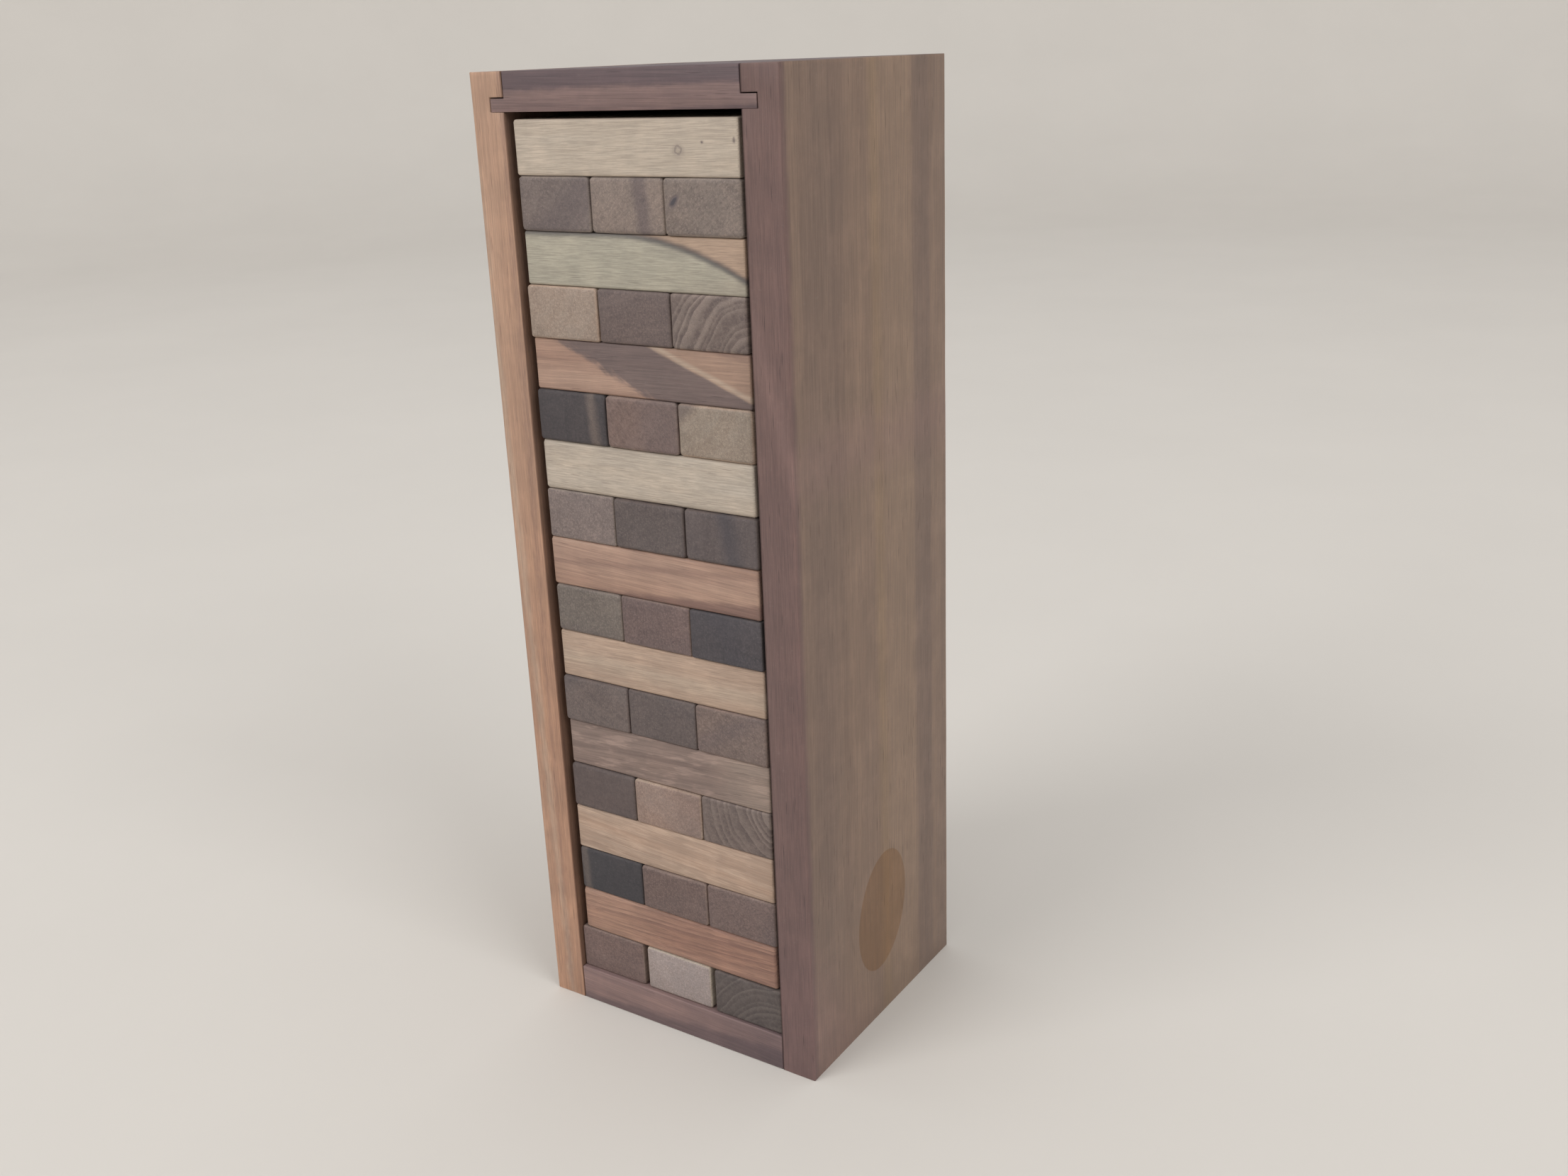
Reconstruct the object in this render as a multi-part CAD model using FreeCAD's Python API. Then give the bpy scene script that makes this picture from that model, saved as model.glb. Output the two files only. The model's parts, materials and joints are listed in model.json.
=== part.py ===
import FreeCAD, Part
import math
import os

# A tumbling-tower game kept in its wooden box. Fifty-four hardwood blocks stand in eighteen
# storeys of three, each storey turned a quarter turn on the one below. The box is open at the
# front, and its top is a lid board whose tongues slide forward in grooves of the side boards.
# Frame: origin under the middle of the box, the open front faces -Y, +Z is up. Millimetres.

# Box boards
box_width = 102.6
box_depth = 88.0
box_height = 296.0
side_thickness = 11.6
floor_thickness = 12.0
back_thickness = 10.0
board_ease = 0.6          # flat on every edge of a board

# Lid and the grooves it runs in
lid_thickness = 10.8
tongue_height = 3.65
tongue_reach = 4.8
groove_height = 3.95
groove_reach = 5.05
lid_clearance = 0.2       # at each side of the lid and behind it
lid_ease = 0.35

# Blocks and how they are stacked
block_length = 75.6
block_width = 25.1
block_height = 15.04
block_ease = 0.6
storey_count = 18
storey_pitch = 15.07      # leaves a hair of air between storeys
stack_lift = 0.02         # between the floor board and the first storey
left_gap = 2.3            # beside the stack, on its left
neighbour_gap = 0.2       # between two blocks of a storey
loose_left_gap = 0.35     # the first storey has spread out
loose_neighbour_gap = 1.7
recess_bottom = 1.55      # how far the block fronts stand back in the box
recess_top = 0.8
end_on_forward = 0.45     # end-on storeys stand this much further forward
stray_sideways = 0.12     # unevenness of the stacking
stray_depth = 0.22

end_on_places = ("left", "centre", "right")
lengthwise_places = ("front", "middle", "back")

front_y = -box_depth / 2
left_x = -box_width / 2
inner_width = box_width - 2 * side_thickness
inner_left_x = left_x + side_thickness
back_panel_y = box_depth / 2 - back_thickness
lid_underside_z = box_height - lid_thickness


def box_between(low, high):
    """A plain box from its low corner to its high corner."""
    size = [b - a for a, b in zip(low, high)]
    return Part.makeBox(size[0], size[1], size[2], FreeCAD.Vector(*low))


def eased(shape, ease):
    """The same board with a small flat on every edge."""
    return shape.makeChamfer(ease, shape.Edges)


def side_board(outer_x, inner_x):
    """A full-height side board with the lid's groove in its inner face, open at the front."""
    low_x, high_x = sorted((outer_x, inner_x))
    board = eased(box_between((low_x, front_y, 0), (high_x, box_depth / 2, box_height)), board_ease)
    outwards = math.copysign(1, outer_x)
    groove_x = sorted((inner_x - outwards * board_ease, inner_x + outwards * groove_reach))
    groove = box_between((groove_x[0], front_y - board_ease, lid_underside_z),
                         (groove_x[1], back_panel_y, lid_underside_z + groove_height))
    return board.cut(groove)


def floor_board():
    """The bottom board, between the side boards and in front of the back panel."""
    return eased(box_between((inner_left_x, front_y, 0),
                             (-inner_left_x, back_panel_y, floor_thickness)), board_ease)


def back_panel():
    """The back board, between the side boards and over the full height; it stops the lid."""
    return eased(box_between((inner_left_x, back_panel_y, 0),
                             (-inner_left_x, box_depth / 2, box_height)), board_ease)


def sliding_lid():
    """The lid board: a body that fits between the sides, and a tongue along each side."""
    lid_back_y = back_panel_y - lid_clearance
    half_body = inner_width / 2 - lid_clearance
    half_tongues = inner_width / 2 + tongue_reach
    tongue_top_z = lid_underside_z + tongue_height
    body = box_between((-half_body, front_y, lid_underside_z), (half_body, lid_back_y, box_height))
    tongues = box_between((-half_tongues, front_y, lid_underside_z),
                          (half_tongues, lid_back_y, tongue_top_z))
    return eased(body, lid_ease).fuse(eased(tongues, lid_ease)).removeSplitter()


def stray(storey, place):
    """A repeatable unevenness between -1 and 1."""
    return math.sin(2.4 * storey + 4.1 * place)


def storey_floor_z(storey):
    """Underside height of a storey; the first one lies on the floor board."""
    return floor_thickness + stack_lift + (storey - 1) * storey_pitch


def front_recess(storey, place):
    """How far the front of a storey, or of one of its end-on blocks, stands back."""
    share = (storey - 1) / (storey_count - 1)
    recess = recess_bottom + (recess_top - recess_bottom) * share
    if storey % 2:
        recess -= end_on_forward
    return recess + stray_depth * stray(storey, place)


def end_on_block(storey, place):
    """A block of an odd storey: its end faces the front."""
    first_gap = loose_left_gap if storey == 1 else left_gap + stray_sideways * stray(storey, 3)
    gap = loose_neighbour_gap if storey == 1 else neighbour_gap
    x = inner_left_x + first_gap + place * (block_width + gap)
    y = front_y + front_recess(storey, place)
    z = storey_floor_z(storey)
    return box_between((x, y, z), (x + block_width, y + block_length, z + block_height))


def lengthwise_block(storey, place):
    """A block of an even storey: its long side faces the front."""
    x = inner_left_x + left_gap + stray_sideways * stray(storey, place)
    y = front_y + front_recess(storey, 0) + place * (block_width + neighbour_gap)
    z = storey_floor_z(storey)
    return box_between((x, y, z), (x + block_length, y + block_width, z + block_height))


def all_blocks():
    """Every block by its node name, counted from the bottom storey."""
    blocks = {}
    for storey in range(1, storey_count + 1):
        if storey % 2:
            places, make = end_on_places, end_on_block
        else:
            places, make = lengthwise_places, lengthwise_block
        for place, word in enumerate(places):
            blocks[f"block_{storey:02d}_{word}"] = eased(make(storey, place), block_ease)
    return blocks


def write_nodes(nodes):
    """One STEP file for each node."""
    os.makedirs("parts", exist_ok=True)
    for name, shape in nodes.items():
        solid = shape.Solids[0]
        if len(shape.Solids) != 1 or not solid.isValid():
            raise ValueError(f"{name} is not one valid solid")
        solid.exportStep(f"parts/{name}.step")
        print(f"{name}: {solid.Volume / 1000:.2f} cm3")


write_nodes({
    "side_left": side_board(left_x, inner_left_x),
    "side_right": side_board(-left_x, -inner_left_x),
    "back_panel": back_panel(),
    "floor_board": floor_board(),
    "sliding_lid": sliding_lid(),
    **all_blocks(),
})
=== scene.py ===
import json
import math
import random
import bpy
from mathutils import Matrix, Vector


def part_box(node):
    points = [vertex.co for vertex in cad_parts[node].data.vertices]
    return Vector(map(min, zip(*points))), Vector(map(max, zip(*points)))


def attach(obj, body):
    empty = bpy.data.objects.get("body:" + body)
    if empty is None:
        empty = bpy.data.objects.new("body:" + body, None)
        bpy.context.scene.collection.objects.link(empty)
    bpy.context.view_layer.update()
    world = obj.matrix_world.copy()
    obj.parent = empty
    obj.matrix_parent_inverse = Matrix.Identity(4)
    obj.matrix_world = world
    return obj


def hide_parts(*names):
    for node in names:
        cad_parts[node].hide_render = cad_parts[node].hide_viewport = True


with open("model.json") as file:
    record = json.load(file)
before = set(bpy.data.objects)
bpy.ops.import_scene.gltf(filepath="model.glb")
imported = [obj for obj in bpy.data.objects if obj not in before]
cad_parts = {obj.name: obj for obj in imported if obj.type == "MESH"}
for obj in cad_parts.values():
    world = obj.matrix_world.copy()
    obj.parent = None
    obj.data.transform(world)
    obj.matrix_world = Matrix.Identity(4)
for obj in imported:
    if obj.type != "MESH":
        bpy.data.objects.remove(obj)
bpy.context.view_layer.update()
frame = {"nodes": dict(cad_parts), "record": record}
mm = 0.001

bodyOfNode = {node: body for body, nodes in frame["record"]["behaviour"]["bodies"].items() for node in nodes}


# small helpers for node trees

def feed(tree, socket, source):
    if isinstance(source, bpy.types.NodeSocket):
        tree.links.new(source, socket)
    elif source is not None:
        socket.default_value = source


def addMath(tree, operation, *sources, clamp=False):
    node = tree.nodes.new("ShaderNodeMath")
    node.operation = operation
    node.use_clamp = clamp
    for socket, source in zip(node.inputs, sources):
        feed(tree, socket, source)
    return node.outputs[0]


def addVectorMath(tree, operation, *sources, outlet="Vector"):
    node = tree.nodes.new("ShaderNodeVectorMath")
    node.operation = operation
    for socket, source in zip(node.inputs, sources):
        feed(tree, socket, source)
    return node.outputs[outlet]


def addStep(tree, source, low, high, fromHigh=False):  # smooth 0..1 between low and high
    node = tree.nodes.new("ShaderNodeMapRange")
    node.interpolation_type = "SMOOTHSTEP"
    feed(tree, node.inputs["Value"], source)
    feed(tree, node.inputs["From Min"], low)
    feed(tree, node.inputs["From Max"], high)
    node.inputs["To Min"].default_value = 1.0 if fromHigh else 0.0
    node.inputs["To Max"].default_value = 0.0 if fromHigh else 1.0
    return node.outputs["Result"]


def addMix(tree, factor, first, second, blend="MIX"):
    node = tree.nodes.new("ShaderNodeMix")
    node.data_type = "RGBA"
    node.blend_type = blend
    node.clamp_factor = True
    feed(tree, node.inputs[0], factor)
    feed(tree, node.inputs[6], first)
    feed(tree, node.inputs[7], second)
    return node.outputs[2]


def addNoise(tree, vector, scale, detail=2.0, roughness=0.55, dimensions="3D", w=None):
    node = tree.nodes.new("ShaderNodeTexNoise")
    node.noise_dimensions = dimensions
    if dimensions != "1D":
        feed(tree, node.inputs["Vector"], vector)
    if w is not None:
        feed(tree, node.inputs["W"], w)
    node.inputs["Scale"].default_value = scale
    node.inputs["Detail"].default_value = detail
    node.inputs["Roughness"].default_value = roughness
    return node.outputs


def addMapping(tree, vector, location, rotation=(0, 0, 0), scale=(1, 1, 1)):
    node = tree.nodes.new("ShaderNodeMapping")
    node.vector_type = "TEXTURE"
    feed(tree, node.inputs["Vector"], vector)
    node.inputs["Location"].default_value = location
    node.inputs["Rotation"].default_value = rotation
    node.inputs["Scale"].default_value = scale
    return node.outputs["Vector"]


def addTimes(tree, first, second):
    return addMath(tree, "MULTIPLY", first, second)


def addSum(tree, start, *parts):  # each part is a value and its share
    for source, share in parts:
        start = addMath(tree, "MULTIPLY_ADD", source, share, start)
    return start


def addTint(tree, colour, tone):
    return addMix(tree, 1.0, colour, tone, "MULTIPLY")


def addSplit(tree, vector):
    node = tree.nodes.new("ShaderNodeSeparateXYZ")
    feed(tree, node.inputs[0], vector)
    return node.outputs


def addJoin(tree, x=0.0, y=0.0, z=0.0):
    node = tree.nodes.new("ShaderNodeCombineXYZ")
    for socket, source in zip(node.inputs, (x, y, z)):
        feed(tree, socket, source)
    return node.outputs[0]


def newGroup(name, inlets, outlets):  # both give the names of the sockets of each kind
    tree = bpy.data.node_groups.new(name, "ShaderNodeTree")
    for way, sockets in (("INPUT", inlets), ("OUTPUT", outlets)):
        for kind, labels in sockets.items():
            for label in labels:
                tree.interface.new_socket(name=label, in_out=way, socket_type="NodeSocket" + kind)
    inside = tree.nodes.new("NodeGroupInput").outputs
    outside = tree.nodes.new("NodeGroupOutput").inputs
    return tree, inside, outside


def placeGroup(tree, group, **sources):  # keyword names are the socket names without their spaces
    node = tree.nodes.new("ShaderNodeGroup")
    node.node_tree = group
    for socket in node.inputs:
        key = socket.name.replace(" ", "")
        feed(tree, socket, sources.get(key[0].lower() + key[1:]))
    return node.outputs


# shared effects; lengths inside them are millimetres

wood = dict(
    seedShift=(13.7, 7.3, 31.1),
    bends=[dict(scale=0.035, stretch=0.2, share=4.0), dict(scale=0.22, stretch=0.1, share=0.7)],
    unevenPace=0.45, uneven=1.6, lateRise=(0.2, 0.86), lateFall=(0.9, 1.0), yearShare=0.75, yearLeast=0.25,
    driftPace=0.21, driftSeed=3.0, driftSpan=(0.36, 0.64), ringDrift=0.6, patchDrift=0.4,
    broadShare=0.45, thinShare=0.55, fan=(125, 125, 0), fanStretch=0.3, raySpan=(0.42, 0.7),
    poreStretch=0.05, poreScale=1.2, poreKept=(0.35, 0.55), poreSpan=(0.08, 0.2), haloSpan=(0.16, 0.46),
    endSpan=(0.55, 0.95), haloOnSides=0.22, haloOnEnds=0.9,
    fineTones=((0.8, 0.8, 0.8, 1), (1.14, 1.14, 1.14, 1)), paler=(1.45, 1.42, 1.4, 1),
    poreTone=(0.34, 0.3, 0.3, 1), streakTone=(0.78, 0.74, 0.72, 1), crumbTone=(1.4, 1.38, 1.36, 1),
    roughness=dict(plain=0.47, fine=0.1, pores=0.25, ends=0.14, crumbs=0.08),
    relief=dict(pores=-0.06, fine=0.014, rings=0.012, fuzz=0.022, fuzzScale=3.4))


def makeHardwoodGroup():
    tree, given, result = newGroup(
        "hardwood",
        dict(Vector=["Grain", "Grain Axis"], Color=["Light", "Dark", "Warm", "End Tone"],
             Float=["Seed", "Ring Width", "Rings", "Waver", "Drift", "Streaks", "Flecks", "Figure", "Rays",
                    "Pores"]),
        dict(Color=["Color", "Detail"], Float=["Roughness", "Height"]))
    seedShift = addJoin(tree, *[addTimes(tree, given["Seed"], factor) for factor in wood["seedShift"]])
    seeded = addVectorMath(tree, "ADD", given["Grain"], seedShift)

    def along(stretch):  # fibre space: shapes are 1/stretch times longer along the grain
        return addVectorMath(tree, "MULTIPLY", seeded, (1, 1, stretch))

    def layer(stretch, scale, detail, roughness, low, high):
        return addStep(tree, addNoise(tree, along(stretch), scale, detail, roughness)["Fac"], low, high)

    def slowly(pace):
        return addNoise(tree, None, 1.0, 1.0, dimensions="1D", w=pace)["Fac"]

    bent = given["Grain"]
    for bend in wood["bends"]:
        field = addNoise(tree, along(bend["stretch"]), bend["scale"])["Color"]
        centred = addVectorMath(tree, "SUBTRACT", field, (0.5, 0.5, 0.5))
        wobble = addVectorMath(tree, "MULTIPLY", centred, addTimes(tree, given["Waver"], bend["share"]))
        bent = addVectorMath(tree, "ADD", bent, wobble)
    across = addVectorMath(tree, "MULTIPLY", bent, (1, 1, 0))
    radius = addVectorMath(tree, "LENGTH", across, outlet="Value")

    # growth rings of uneven width and strength
    plainTurn = addMath(tree, "DIVIDE", radius, given["Ring Width"])
    uneven = slowly(addSum(tree, given["Seed"], (plainTurn, wood["unevenPace"])))
    turn = addSum(tree, plainTurn, (uneven, wood["uneven"]))
    season = addMath(tree, "FRACT", turn)
    year = tree.nodes.new("ShaderNodeTexWhiteNoise")
    year.noise_dimensions = "1D"
    feed(tree, year.inputs["W"], addMath(tree, "ADD", addMath(tree, "FLOOR", turn), given["Seed"]))
    late = addTimes(tree, addStep(tree, season, *wood["lateRise"]),
                    addStep(tree, season, *wood["lateFall"], fromHigh=True))
    late = addTimes(tree, late, addSum(tree, wood["yearLeast"], (year.outputs["Value"], wood["yearShare"])))

    # slow change of tone from pith to bark, then the fibres
    driftStart = addTimes(tree, given["Seed"], wood["driftSeed"])
    slow = slowly(addSum(tree, driftStart, (plainTurn, wood["driftPace"])))
    patch = layer(stretch=0.12, scale=0.07, detail=2.0, roughness=0.55, low=0.35, high=0.7)
    drift = addSum(tree, addTimes(tree, patch, wood["patchDrift"]),
                   (addStep(tree, slow, *wood["driftSpan"]), wood["ringDrift"]))
    drift = addTimes(tree, given["Drift"], drift)
    broadStreak = layer(stretch=0.04, scale=0.26, detail=3.0, roughness=0.6, low=0.4, high=0.66)
    thinStreak = layer(stretch=0.022, scale=1.0, detail=4.0, roughness=0.6, low=0.4, high=0.68)
    streak = addSum(tree, addTimes(tree, thinStreak, wood["thinShare"]), (broadStreak, wood["broadShare"]))
    streak = addTimes(tree, streak, given["Streaks"])
    fine = layer(stretch=0.014, scale=3.6, detail=4.0, roughness=0.72, low=0.33, high=0.68)
    ripple = layer(stretch=0.18, scale=0.5, detail=3.0, roughness=0.6, low=0.5, high=0.64)

    # fine rays from the pith, pale crumbs where the fibres end, pores with pale halos
    fan = addVectorMath(tree, "MULTIPLY", addVectorMath(tree, "NORMALIZE", across), wood["fan"])
    fan = addVectorMath(tree, "ADD", fan, addJoin(tree, z=addTimes(tree, radius, wood["fanStretch"])))
    fan = addVectorMath(tree, "ADD", fan, seedShift)
    ray = addStep(tree, addNoise(tree, fan, 1.0, detail=2.0, roughness=0.6)["Fac"], *wood["raySpan"])
    crumb = layer(stretch=1.0, scale=1.5, detail=3.0, roughness=0.75, low=0.46, high=0.66)
    cell = tree.nodes.new("ShaderNodeTexVoronoi")
    cell.feature = "F1"
    feed(tree, cell.inputs["Vector"], along(wood["poreStretch"]))
    cell.inputs["Scale"].default_value = wood["poreScale"]
    present = tree.nodes.new("ShaderNodeSeparateColor")
    tree.links.new(cell.outputs["Color"], present.inputs["Color"])
    kept = addStep(tree, present.outputs[0], *wood["poreKept"])
    pore, halo = [addTimes(tree, addStep(tree, cell.outputs["Distance"], *wood[span], fromHigh=True), kept)
                  for span in ("poreSpan", "haloSpan")]
    pore = addTimes(tree, pore, given["Pores"])

    normal = tree.nodes.new("ShaderNodeNewGeometry").outputs["Normal"]
    lookingAlong = addVectorMath(tree, "DOT_PRODUCT", normal, given["Grain Axis"], outlet="Value")
    endFace = addStep(tree, addMath(tree, "ABSOLUTE", lookingAlong), *wood["endSpan"])
    onEnds = addMath(tree, "MAXIMUM", addTimes(tree, ray, given["Rays"]),
                     addTimes(tree, crumb, given["Flecks"]))
    onEnds = addTimes(tree, onEnds, endFace)
    halo = addTimes(tree, halo, given["Flecks"])
    halo = addTimes(tree, halo, addSum(tree, wood["haloOnSides"], (endFace, wood["haloOnEnds"])))

    colour = addMix(tree, drift, given["Light"], given["Warm"])
    colour = addMix(tree, addTimes(tree, late, given["Rings"]), colour, given["Dark"])
    colour = addMix(tree, streak, colour, given["Dark"])
    paler = addTint(tree, given["Light"], wood["paler"])
    colour = addMix(tree, halo, colour, paler)
    colour = addMix(tree, addTimes(tree, ripple, given["Figure"]), colour, paler)
    fineTone = addMix(tree, fine, *wood["fineTones"])
    colour = addMix(tree, onEnds, addTint(tree, colour, fineTone), paler)
    colour = addMix(tree, pore, colour, addTint(tree, colour, wood["poreTone"]))
    colour = addMix(tree, endFace, colour, addTint(tree, colour, given["End Tone"]))
    tree.links.new(colour, result["Color"])

    # the same marks as a plain multiplier, for the tints laid over the wood
    detail = addMix(tree, streak, fineTone, addTint(tree, fineTone, wood["streakTone"]))
    detail = addMix(tree, addMath(tree, "MAXIMUM", onEnds, halo), detail,
                    addTint(tree, detail, wood["crumbTone"]))
    detail = addMix(tree, pore, detail, addTint(tree, detail, wood["poreTone"]))
    tree.links.new(detail, result["Detail"])

    rough = wood["roughness"]
    tree.links.new(addSum(tree, rough["plain"], (fine, rough["fine"]), (pore, rough["pores"]),
                          (endFace, rough["ends"]), (onEnds, rough["crumbs"])), result["Roughness"])
    relief = wood["relief"]
    fuzz = addNoise(tree, seeded, relief["fuzzScale"], roughness=0.6)["Fac"]  # sawn ends stay rough
    fuzz = addTimes(tree, fuzz, endFace)
    tree.links.new(addSum(tree, 0.0, (pore, relief["pores"]), (fine, relief["fine"]),
                          (late, relief["rings"]), (fuzz, relief["fuzz"])), result["Height"])
    return tree


veinShape = dict(seedShift=17.0, stretch=(0.35, 0.2, 1.0), scale=0.45, reach=4.0)


def makeVeinGroup():  # a tinted layer in the wood, cut by the faces as a straight or curving band
    tree, given, result = newGroup(
        "tintedVein", dict(Vector=["Band Space"], Float=["Seed", "Bend", "Half Width", "Softness", "Waver"]),
        dict(Float=["Band", "Above"]))
    parts = addSplit(tree, given["Band Space"])
    ahead = addMath(tree, "MAXIMUM", parts["X"], 0.0)  # straight first, then bending away
    bow = addTimes(tree, addTimes(tree, ahead, ahead), given["Bend"])
    seedShift = addJoin(tree, y=addTimes(tree, given["Seed"], veinShape["seedShift"]))
    ragged = addVectorMath(tree, "MULTIPLY", given["Band Space"], veinShape["stretch"])
    ragged = addVectorMath(tree, "ADD", ragged, seedShift)
    jitter = addNoise(tree, ragged, veinShape["scale"], detail=3.0, roughness=0.6)["Fac"]
    jitter = addMath(tree, "SUBTRACT", jitter, 0.5)
    offset = addMath(tree, "SUBTRACT", parts["Z"], bow)
    offset = addSum(tree, offset, (jitter, addTimes(tree, given["Waver"], veinShape["reach"])))
    soft = given["Softness"]
    inner = addMath(tree, "SUBTRACT", given["Half Width"], soft)
    outer = addMath(tree, "ADD", given["Half Width"], soft)
    away = addMath(tree, "ABSOLUTE", offset)
    tree.links.new(addStep(tree, away, inner, outer, fromHigh=True), result["Band"])
    tree.links.new(addStep(tree, offset, addTimes(tree, soft, -1.0), soft), result["Above"])
    return tree


knotShape = dict(scale=1.3, ragged=0.9, core=(0.55, 0.9), rimIn=(0.5, 0.85), rimOut=(0.95, 1.3),
                 halo=(0.9, 2.6))


def makeKnotGroup():  # distance 1 is the knot's rim
    tree, given, result = newGroup("pinKnot", dict(Vector=["Knot Space"], Float=["Seed"]),
                                   dict(Float=["Core", "Rim", "Halo"]))
    flat = addVectorMath(tree, "MULTIPLY", given["Knot Space"], (1, 0, 1))
    ragged = addNoise(tree, given["Knot Space"], knotShape["scale"], dimensions="4D", w=given["Seed"])["Fac"]
    ragged = addMath(tree, "SUBTRACT", ragged, 0.5)
    away = addSum(tree, addVectorMath(tree, "LENGTH", flat, outlet="Value"), (ragged, knotShape["ragged"]))
    tree.links.new(addStep(tree, away, *knotShape["core"], fromHigh=True), result["Core"])
    rim = addTimes(tree, addStep(tree, away, *knotShape["rimIn"]),
                   addStep(tree, away, *knotShape["rimOut"], fromHigh=True))
    tree.links.new(rim, result["Rim"])
    tree.links.new(addStep(tree, away, *knotShape["halo"], fromHigh=True), result["Halo"])
    return tree


edgeShape = dict(scale=0.3, least=0.2, patchy=1.6, inner=0.25)


def makeEdgeWearHighlightGroup():  # rubbed arrises with a painted highlight: how near a point is to an edge of its board or block
    tree, given, result = newGroup(
        "rubbedEdge", dict(Vector=["Place", "Half Size"], Float=["Reach", "Seed"]), dict(Float=["Edge"]))
    inward = addVectorMath(tree, "SUBTRACT", given["Half Size"],
                           addVectorMath(tree, "ABSOLUTE", given["Place"]))
    x, y, z = addSplit(tree, inward)
    second = addMath(tree, "MAXIMUM", addMath(tree, "MINIMUM", x, y),
                     addMath(tree, "MINIMUM", addMath(tree, "MAXIMUM", x, y), z))
    patchy = addNoise(tree, given["Place"], edgeShape["scale"], detail=3.0, roughness=0.6, dimensions="4D",
                      w=given["Seed"])["Fac"]
    reach = addTimes(tree, given["Reach"], addSum(tree, edgeShape["least"], (patchy, edgeShape["patchy"])))
    near = addStep(tree, second, addTimes(tree, reach, edgeShape["inner"]), reach, fromHigh=True)
    tree.links.new(near, result["Edge"])
    return tree


handling = dict(
    Rub=dict(scale=0.09, detail=4.0, roughness=0.6, span=(0.4, 0.68)),
    Dust=dict(scale=0.9, detail=4.0, roughness=0.7, span=(0.56, 0.78)))


def makeHandlingGroup():  # faint rub marks and sanding dust that change tone and gloss
    tree, given, result = newGroup(
        "handling", dict(Vector=["Place"], Float=["Seed"]), dict(Float=["Rub", "Dust"]))
    for kind, mark in handling.items():
        field = addNoise(tree, given["Place"], mark["scale"], mark["detail"], mark["roughness"], "4D",
                         given["Seed"])
        tree.links.new(addStep(tree, field["Fac"], *mark["span"]), result[kind])
    return tree


hardwoodGroup = makeHardwoodGroup()
veinGroup = makeVeinGroup()
knotGroup = makeKnotGroup()
edgeWearHighlightGroup = makeEdgeWearHighlightGroup()
handlingGroup = makeHandlingGroup()
print("shared wood effects ready")


# timber tones: early wood, late wood and a warmer shade that drifts through

timbers = {
    "cream": dict(light=(0.475, 0.412, 0.342), dark=(0.36, 0.287, 0.22), warm=(0.445, 0.367, 0.287)),
    "greyCream": dict(light=(0.40, 0.37, 0.297), dark=(0.29, 0.255, 0.20), warm=(0.365, 0.335, 0.26)),
    "paleTan": dict(light=(0.44, 0.335, 0.26), dark=(0.285, 0.185, 0.13), warm=(0.43, 0.295, 0.21)),
    "honey": dict(light=(0.42, 0.25, 0.165), dark=(0.26, 0.14, 0.09), warm=(0.39, 0.21, 0.125)),
    "apricot": dict(light=(0.41, 0.27, 0.20), dark=(0.235, 0.135, 0.10), warm=(0.36, 0.21, 0.145)),
    "orange": dict(light=(0.345, 0.205, 0.15), dark=(0.185, 0.095, 0.07), warm=(0.30, 0.155, 0.10)),
    "russet": dict(light=(0.28, 0.165, 0.125), dark=(0.155, 0.08, 0.062), warm=(0.25, 0.13, 0.09)),
    "midBrown": dict(light=(0.26, 0.19, 0.16), dark=(0.14, 0.093, 0.078), warm=(0.24, 0.16, 0.125)),
    "greyBrown": dict(light=(0.285, 0.235, 0.20), dark=(0.15, 0.117, 0.105), warm=(0.245, 0.19, 0.155)),
    "darkBrown": dict(light=(0.155, 0.115, 0.10), dark=(0.075, 0.052, 0.048), warm=(0.135, 0.092, 0.076)),
    "charcoal": dict(light=(0.068, 0.056, 0.055), dark=(0.028, 0.023, 0.024), warm=(0.058, 0.044, 0.041)),
    "laced": dict(light=(0.14, 0.10, 0.088), dark=(0.37, 0.29, 0.245), warm=(0.175, 0.125, 0.105)),
    "olive": dict(light=(0.225, 0.148, 0.104), dark=(0.14, 0.088, 0.064), warm=(0.235, 0.15, 0.095)),
    "plum": dict(light=(0.22, 0.14, 0.125), dark=(0.115, 0.07, 0.07), warm=(0.205, 0.125, 0.108)),
}
inks = {  # tints of veins and knots
    "blueBlack": (0.045, 0.04, 0.048),
    "duskBrown": (0.105, 0.08, 0.082),
    "redBrown": (0.16, 0.085, 0.07),
    "sapOrange": (0.44, 0.28, 0.19),
    "paleSap": (0.49, 0.40, 0.31),
    "stripTan": (0.22, 0.165, 0.135),
    "rosy": (0.12, 0.062, 0.062),
    "rosyPale": (0.26, 0.155, 0.135),
    "plumDark": (0.078, 0.05, 0.057),
    "oliveDark": (0.135, 0.09, 0.072),
    "oliveLight": (0.275, 0.185, 0.122),
    "oliveGold": (0.29, 0.19, 0.10),
}
paintedHaze = dict(share=0.042, tone=(0.56, 0.58, 0.65))  # painted haze: a cool, pale veil of light mixed evenly over all the wood
grainTurns = {"x": (0, math.radians(90), 0), "y": (math.radians(-90), 0, 0), "z": (0, 0, 0)}
grainAxes = {"x": (1, 0, 0), "y": (0, 1, 0), "z": (0, 0, 1)}

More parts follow.
